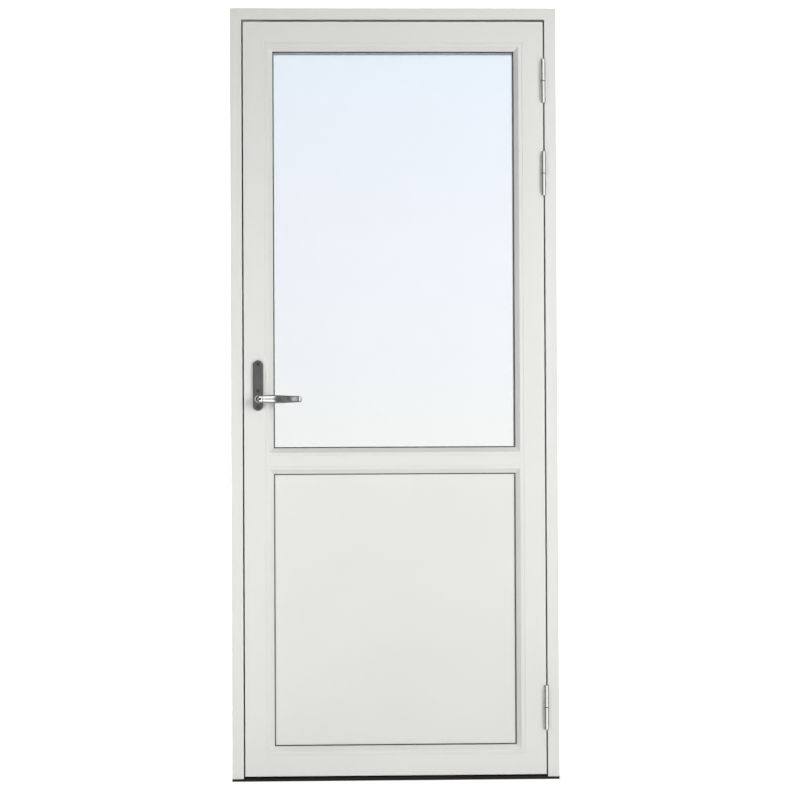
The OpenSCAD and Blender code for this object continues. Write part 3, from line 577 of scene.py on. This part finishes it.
def collar(name, y, out):
    """The ring that the lever's neck turns in."""
    bm = bmesh.new()
    outer = BORE_R - 0.05 * MM
    inner = NECK_R + 0.15 * MM
    profile = [(COLLAR_ROOT, outer), (COLLAR_RISE * 0.5, outer), (COLLAR_RISE * 0.85, outer - 0.15 * MM),
               (COLLAR_RISE, outer - 0.4 * MM), (COLLAR_RISE * 0.95, inner + 0.25 * MM),
               (COLLAR_RISE * 0.7, inner), (COLLAR_ROOT, inner), (COLLAR_ROOT, outer)]
    profile = [(y + out * along, radius) for along, radius in profile]
    lathe(bm, profile, (SPINDLE_X, 0, SPINDLE_Z), "y", 64)
    bmesh.ops.remove_doubles(bm, verts=bm.verts, dist=SEAM)
    piece = mesh_object(name, bm, steel)
    smooth_shaded(piece, 40)
    enlist(piece, "leaf", "polished_steel")


collar("outer_collar", plate_low.y, -1)
collar("inner_collar", inner_high.y, 1)


def group_input(tree, name, kind, value):
    """Gives a tree a named input and its usual value."""
    tree.interface.new_socket(name=name, in_out="INPUT", socket_type=kind).default_value = value


def screw_tree():
    """Geometry Nodes: a screw head with a six-sided socket on each point, all turned by Turn."""
    tree = bpy.data.node_groups.new("socket_screws", "GeometryNodeTree")
    tree.interface.new_socket(name="Points", in_out="INPUT", socket_type="NodeSocketGeometry")
    group_input(tree, "Head Radius", "NodeSocketFloat", HEAD_R)
    group_input(tree, "Head Depth", "NodeSocketFloat", HEAD_DEPTH)
    group_input(tree, "Socket Radius", "NodeSocketFloat", SOCKET_R)
    group_input(tree, "Turn", "NodeSocketRotation", (0.0, 0.0, 0.0))
    tree.interface.new_socket(name="Screws", in_out="OUTPUT", socket_type="NodeSocketGeometry")

    def add(kind, settings=None, sockets=None):
        """Adds a node, makes its settings, then fills its sockets with numbers or links."""
        made = tree.nodes.new(kind)
        for key, value in (settings or {}).items():
            setattr(made, key, value)
        for key, value in (sockets or {}).items():
            if isinstance(value, bpy.types.NodeSocket):
                tree.links.new(value, made.inputs[key])
            else:
                made.inputs[key].default_value = value
        return made

    given = add("NodeGroupInput").outputs

    def prism(sides, radius):
        sizes = {"Vertices": sides, "Radius": given[radius], "Depth": given["Head Depth"]}
        return add("GeometryNodeMeshCylinder", {"fill_type": "NGON"}, sizes).outputs["Mesh"]

    raised = {"Geometry": prism(6, "Socket Radius"), "Translation": (0, 0, SOCKET_RAISED)}
    socket = add("GeometryNodeTransform", None, raised).outputs[0]
    parts = {"Mesh 1": prism(40, "Head Radius"), "Mesh 2": socket}
    carved = add("GeometryNodeMeshBoolean", {"operation": "DIFFERENCE", "solver": "EXACT"}, parts)
    spots = {"Points": given["Points"], "Instance": carved.outputs["Mesh"], "Rotation": given["Turn"]}
    placed = add("GeometryNodeInstanceOnPoints", None, spots)
    real = add("GeometryNodeRealizeInstances", None, {"Geometry": placed.outputs[0]})
    finish = add("GeometryNodeSetMaterial", None, {"Geometry": real.outputs[0], "Material": black_steel})
    tree.links.new(finish.outputs[0], add("NodeGroupOutput").inputs[0])
    return tree


screws = screw_tree()


def screw_heads(name, y, quarter_turn, *stands_for):
    """Three screw heads on the plate's centre line."""
    mesh = bpy.data.meshes.new(name)
    mesh.from_pydata([(SPINDLE_X, y, SPINDLE_Z + dz) for dz in SCREW_DZ], [], [])
    piece = bpy.data.objects.new(name, mesh)
    bpy.context.scene.collection.objects.link(piece)
    maker = piece.modifiers.new("screws", "NODES")
    maker.node_group = screws
    maker[screws.interface.items_tree["Turn"].identifier] = (quarter_turn, 0.0, 0.0)
    baked(piece)
    smooth_shaded(piece, 30)
    enlist(piece, "leaf", "satin_plate", *stands_for)


HEAD_INSIDE = HEAD_SUNK + HEAD_DEPTH / 2
screw_heads("outer_plate_screws", plate_low.y + HEAD_INSIDE, math.pi / 2, "plate_screws")
screw_heads("inner_plate_screws", inner_high.y - HEAD_INSIDE, -math.pi / 2)


def smoothstep(value):
    """Rises from 0 to 1 with level ends."""
    value = max(0.0, min(1.0, value))
    return value * value * (3 - 2 * value)


def fair_curve(stations, at):
    """The columns of stations, whose first column is the place along, on fair curves through them."""
    at = min(max(at, stations[0][0]), stations[-1][0])
    last = len(stations) - 1
    i = max(k for k in range(last) if stations[k][0] <= at)
    before, start, end, after = (stations[max(0, min(last, k))] for k in (i - 1, i, i + 1, i + 2))
    gap = end[0] - start[0]
    t = (at - start[0]) / gap
    made = []
    for p, a, b, q in zip(before[1:], start[1:], end[1:], after[1:]):
        leaving = (b - p) / (end[0] - before[0]) * gap
        arriving = (q - a) / (after[0] - start[0]) * gap
        made.append((2 * t**3 - 3 * t**2 + 1) * a + (t**3 - 2 * t**2 + t) * leaving
                    + (3 * t**2 - 2 * t**3) * b + (t**3 - t**2) * arriving)
    return made


# The lever's sizes are in millimetres. Each station is a distance travelled along the middle line,
# and half the lever's height and half its thickness there.
LEVER_LENGTH = 115.0
LEVER_REACH = 42.4
LEVER_BEND = 17.0
LEVER_ROOT = -5.0
BEND_START = LEVER_REACH - LEVER_BEND
LEVER_STATIONS = (
    (0.0, 9.0, 9.0), (BEND_START, 9.0, 8.7), (BEND_START + 18.0, 9.6, 6.3), (BEND_START + 42.0, 10.5, 4.9),
    (BEND_START + 70.0, 10.1, 4.4), (BEND_START + 98.0, 8.8, 3.8), (BEND_START + 130.0, 7.4, 3.2),
)
NECK_STEPS = 6
BEND_STEPS = 22
ARM_STEPS = 44
RING_STEPS = 48
TIP_LENGTH = 4.5
TIP_HEIGHT = 0.55
TIP_THICKNESS = 0.40
FLATTENED = 0.16
FLATTENED_AFTER = 20.0
LEAN_START = 6.0
LEAN_RUN = 52.0
LEAN_DEPTH = 6.0
FLICK_START = 84.0
FLICK_RUN = LEVER_LENGTH - FLICK_START
FLICK_DEPTH = 0.5


def lean_back(along):
    """How far the arm has leaned back to the leaf, at a distance from the handle's axis."""
    share = max(0.0, min(1.0, (along - LEAN_START) / LEAN_RUN))
    flick = FLICK_DEPTH * smoothstep((along - FLICK_START) / FLICK_RUN)
    return LEAN_DEPTH * (1 - (1 - share) ** 2) - flick


def lever_path():
    """The lever's middle line through neck, bend and arm, as (along, outward). Only the arm leans yet."""
    path = [(0.0, LEVER_ROOT + (BEND_START - LEVER_ROOT) * i / NECK_STEPS) for i in range(NECK_STEPS + 1)]
    for i in range(1, BEND_STEPS + 1):
        turn = math.pi / 2 * i / BEND_STEPS
        path.append((LEVER_BEND * (1 - math.cos(turn)), BEND_START + LEVER_BEND * math.sin(turn)))
    for i in range(1, ARM_STEPS + 1):
        along = LEVER_BEND + (LEVER_LENGTH - LEVER_BEND) * math.sin(math.pi / 2 * i / ARM_STEPS)
        path.append((along, LEVER_REACH - lean_back(along)))
    return path


def lever(name, node, face_y, out):
    """A lever whose round neck bends into a flattened arm that leans back to the leaf."""
    path = lever_path()
    rings = []
    travelled = 0.0
    last = path[0]
    for i, (along, outward) in enumerate(path):
        travelled += math.hypot(along - last[0], outward - last[1])
        last = (along, outward)
        if along <= LEVER_BEND:
            outward -= lean_back(along)
        before = path[max(0, i - 1)]
        after = path[min(len(path) - 1, i + 1)]
        tangent = Vector((after[0] - before[0], after[1] - before[1])).normalized()
        side = Vector((-tangent.y, tangent.x))
        half_height, half_thick = fair_curve(LEVER_STATIONS, travelled)
        left = (LEVER_LENGTH - along) / TIP_LENGTH
        if left < 1.0:
            close = math.sqrt(max(0.0, 1 - (1 - left) ** 2))
            half_height *= TIP_HEIGHT + (1 - TIP_HEIGHT) * close
            half_thick *= TIP_THICKNESS + (1 - TIP_THICKNESS) * close
        power = 1.0 - FLATTENED * min(1.0, max(0.0, travelled - BEND_START) / FLATTENED_AFTER)
        ring = []
        for k in range(RING_STEPS):
            turn = 2 * math.pi * k / RING_STEPS
            c = math.cos(turn)
            s = math.sin(turn)
            u = half_thick * math.copysign(abs(c) ** power, c)
            v = half_height * math.copysign(abs(s) ** power, s)
            x = SPINDLE_X + (along + side.x * u) * MM
            y = face_y + out * (outward + side.y * u) * MM
            ring.append(Vector((x, y, SPINDLE_Z + v * MM)))
        rings.append(ring)
    bm = bmesh.new()
    loft(bm, rings)
    piece = mesh_object(name, bm, lever_steel)
    smooth_shaded(piece, 50)
    enlist(piece, "handle", "polished_steel", node)


lever("outer_lever_handle", "outer_lever", plate_low.y, -1)
lever("inner_lever_handle", "inner_lever", inner_high.y, 1)


# ---- Hinges ----

BARREL_R = 7.2 * MM
BARREL_X = 404.0 * MM
MEETING_RIM = 0.5 * MM
END_RIM = 1.6 * MM
BUTTON = ((0.0, 3.4 * MM), (0.2 * MM, 3.2 * MM), (0.9 * MM, 2.8 * MM), (1.3 * MM, 1.6 * MM), (1.4 * MM, 0.0))
PARTING = 0.05 * MM
WING_INTO_BARREL = 2.75 * MM


def rim(edge):
    """A quarter round of radius edge, as (along, inwards) from the end face to the side."""
    steps = 6
    turns = [math.pi / 2 * i / steps for i in range(steps + 1)]
    return [(edge * (1 - math.sin(a)), edge * (1 - math.cos(a))) for a in reversed(turns)]


def hinge_barrel(node, body, upper):
    """Half a hinge's barrel: a fine rim where the halves meet, a rounder one and a button at its end."""
    low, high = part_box(node)
    meeting, far, way = (low.z, high.z, -1) if upper else (high.z, low.z, 1)
    profile = [(meeting, 0.0)]
    profile += [(meeting - way * along, BARREL_R - inwards) for along, inwards in rim(MEETING_RIM)]
    profile += [(far + way * along, BARREL_R - inwards) for along, inwards in reversed(rim(END_RIM))]
    profile += [(far + way * along, radius) for along, radius in BUTTON]
    bm = bmesh.new()
    lathe(bm, profile, (BARREL_X, low.y + BARREL_R, 0), "z", 48)
    bmesh.ops.remove_doubles(bm, verts=bm.verts, dist=SEAM)
    piece = mesh_object("barrel_" + node, bm, steel)
    smooth_shaded(piece, 40)
    steady_normals(piece)
    baked(piece)
    piece.visible_shadow = False
    enlist(piece, body, "polished_steel", node)


def hinge_wing(node, body):
    """The wing with its countersunk holes, parted from the barrel, which its edge runs into."""
    low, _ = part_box(node)
    parting = low.y + 2 * BARREL_R + PARTING
    bm = merged_copy(node)
    whole = bm.verts[:] + bm.edges[:] + bm.faces[:]
    bmesh.ops.bisect_plane(bm, geom=whole, plane_co=(0, parting, 0), plane_no=(0, -1, 0), clear_outer=True)
    bmesh.ops.holes_fill(bm, edges=[edge for edge in bm.edges if edge.is_boundary], sides=0)
    for vert in bm.verts:
        if vert.co.y < parting + WELD:
            vert.co.y -= WING_INTO_BARREL
    piece = mesh_object("wing_" + node, bm, steel)
    round_over(piece, 0.25 * MM, 1.5 * MM)
    enlist(piece, body, "polished_steel")


for place in ("upper", "middle", "lower"):
    for node, body in ((place + "_leaf_hinge", "leaf"), (place + "_frame_hinge", "frame")):
        hinge_barrel(node, body, body == "leaf")
        hinge_wing(node, body)


# ---- Stage, light and camera ----

FLOOR_RADIUS = 4.0
FLOOR_DROP = 0.5 * MM
FLOOR_GLOW = 0.6
AMBIENT = 0.1
MIRRORED = 0.1
BACKGROUND = 1.53
CARD_GLOW = 1.6
FRONT = -20.0
TOP = 20.0
BOTTOM = -20.0
PURE_WHITE = (1.0, 1.0, 1.0, 1.0)
PURE_BLACK = (0.0, 0.0, 0.0, 1.0)
VIEWPOINT = (-0.1667, -6.0, 0.9616)
VIEW_TURNS = (1.617, 0.714, -0.261)
LENS_MM = 100.6
SENSOR_MM = 36.0
FARTHEST_SEEN = 60.0


def glow_strength(tree, as_light, as_seen, as_mirrored):
    """A strength that is as_seen for the camera, straight or through glass, and else as it lights."""
    path = tree.nodes.new("ShaderNodeLightPath").outputs

    def math_node(operation, *values):
        made = tree.nodes.new("ShaderNodeMath")
        made.operation = operation
        for socket, value in zip(made.inputs, values):
            if isinstance(value, bpy.types.NodeSocket):
                tree.links.new(value, socket)
            else:
                socket.default_value = value
        return made.outputs[0]

    seen = math_node("MAXIMUM", path["Is Camera Ray"], path["Is Transmission Ray"])
    extra = math_node("MULTIPLY", seen, as_seen - as_light)
    shine = math_node("MULTIPLY", path["Is Glossy Ray"], as_mirrored - as_light)
    return math_node("ADD", math_node("MAXIMUM", extra, shine), as_light)


def stage_floor():
    """A pale round floor that fades into the white surroundings."""
    bm = bmesh.new()
    bmesh.ops.create_circle(bm, cap_ends=True, radius=FLOOR_RADIUS, segments=96)
    for vert in bm.verts:
        vert.co.z = -FLOOR_DROP
    f = Finish("pale_floor", roughness=0.8)
    drift = f.noise(0.5, detail=3.0)
    f.colour(f.mix(f.span(drift, 0.3, 0.7), (0.80, 0.80, 0.79), (0.83, 0.83, 0.82)))
    f.surface.inputs["Emission Color"].default_value = PURE_WHITE
    f.tree.links.new(glow_strength(f.tree, 0.0, FLOOR_GLOW, 0.0), f.surface.inputs["Emission Strength"])
    away = f.node("ShaderNodeVectorMath", {"operation": "LENGTH"}, {0: f.place()}, "Value")
    f.feed(f.surface.inputs["Alpha"], f.span(away, 0.35 * FLOOR_RADIUS, 0.95 * FLOOR_RADIUS, 1.0, 0.0))
    floor = mesh_object("floor", bm, f.material)
    floor.visible_glossy = False


def surroundings():
    """White surroundings: bright where they are seen, softer as light."""
    world = bpy.data.worlds.new("studio")
    bpy.context.scene.world = world
    world.use_nodes = True
    tree = world.node_tree
    glow = tree.nodes["Background"]
    glow.inputs["Color"].default_value = PURE_WHITE
    tree.links.new(glow_strength(tree, AMBIENT, BACKGROUND, MIRRORED), glow.inputs["Strength"])


def softbox(name, place, aim, size, power):
    """A soft rectangular lamp that lights the object but shows in nothing."""
    lamp = bpy.data.lights.new(name, "AREA")
    lamp.shape = "RECTANGLE"
    lamp.size, lamp.size_y = size
    lamp.energy = power
    holder = bpy.data.objects.new(name, lamp)
    bpy.context.scene.collection.objects.link(holder)
    holder.location = place
    holder.rotation_euler = (Vector(aim) - Vector(place)).to_track_quat("-Z", "Y").to_euler()
    holder.visible_camera = False
    holder.visible_transmission = False
    holder.visible_glossy = False


def reflection_card(name, glow, start, end, low, high):
    """A far glowing sheet, upright between two [x, y] places, that shows only in polished metal."""
    bm = bmesh.new()
    corners = ((*start, low), (*end, low), (*end, high), (*start, high))
    bm.faces.new([bm.verts.new(corner) for corner in corners])
    f = Finish(name, base_color=PURE_BLACK, emission_color=PURE_WHITE, emission_strength=glow)
    card = mesh_object(name, bm, f.material)
    card.visible_camera = False
    card.visible_diffuse = False
    card.visible_transmission = False
    card.visible_shadow = False


def camera():
    """Stands 6 m off, a little left of the door's middle and just below the handle's height."""
    yaw, pitch, roll = (math.radians(degrees) for degrees in VIEW_TURNS)
    ahead = Vector((math.sin(yaw) * math.cos(pitch), math.cos(yaw) * math.cos(pitch), math.sin(pitch)))
    right = Vector((math.cos(yaw), -math.sin(yaw), 0.0))
    up = right.cross(ahead)
    tilted = right * math.cos(roll) + up * math.sin(roll)
    above = up * math.cos(roll) - right * math.sin(roll)
    data = bpy.data.cameras.new("camera")
    data.lens = LENS_MM
    data.sensor_width = SENSOR_MM
    data.clip_end = FARTHEST_SEEN
    viewer = bpy.data.objects.new("camera", data)
    bpy.context.scene.collection.objects.link(viewer)
    turn = Matrix((tilted, above, -ahead)).transposed().to_4x4()
    viewer.matrix_world = Matrix.Translation(VIEWPOINT) @ turn
    bpy.context.scene.camera = viewer


stage_floor()
surroundings()
softbox("right_high", (2.3, -3.3, 1.9), (0.1, 0.0, 1.0), (1.7, 1.4), 83.5)
softbox("near_right", (1.4, -1.9, 1.2), (0.3, 0.0, 1.0), (0.8, 1.2), 5.6)
softbox("near_left", (-1.3, -1.9, 0.9), (0.0, 0.0, 0.9), (0.8, 1.2), 14.6)
softbox("low_front", (0.1, -2.0, 0.45), (0.1, 0.0, 0.5), (1.0, 0.8), 1.6)
softbox("back_fill", (-1.4, 3.8, 1.7), (0.0, 0.0, 1.0), (2.4, 2.4), 112.0)
softbox("overhead", (0.0, 0.9, 4.0), (0.0, 0.1, 2.0), (2.2, 1.2), 42.0)
reflection_card("right_card_above", CARD_GLOW, (2.05, FRONT), (7.5, FRONT), 2.2, TOP)
reflection_card("right_card_below", CARD_GLOW, (2.05, FRONT), (7.5, FRONT), BOTTOM, -0.1)
reflection_card("far_right_card", CARD_GLOW, (7.5, FRONT), (30.0, -12.0), BOTTOM, TOP)
reflection_card("side_right_card", 0.3, (30.0, -12.0), (30.0, 3.0), -12.0, 12.0)
reflection_card("left_card", CARD_GLOW, (-6.1, FRONT), (-0.95, FRONT), BOTTOM, TOP)
reflection_card("far_left_card_above", CARD_GLOW, (-16.5, -9.0), (-6.1, FRONT), 5.8, TOP)
reflection_card("far_left_card_below", CARD_GLOW, (-16.5, -9.0), (-6.1, FRONT), BOTTOM, -3.6)
reflection_card("side_left_card", 0.45, (-19.0, 1.0), (-19.0, -12.6), -3.4, 5.6)
camera()
bpy.context.scene.view_settings.view_transform = "Standard"
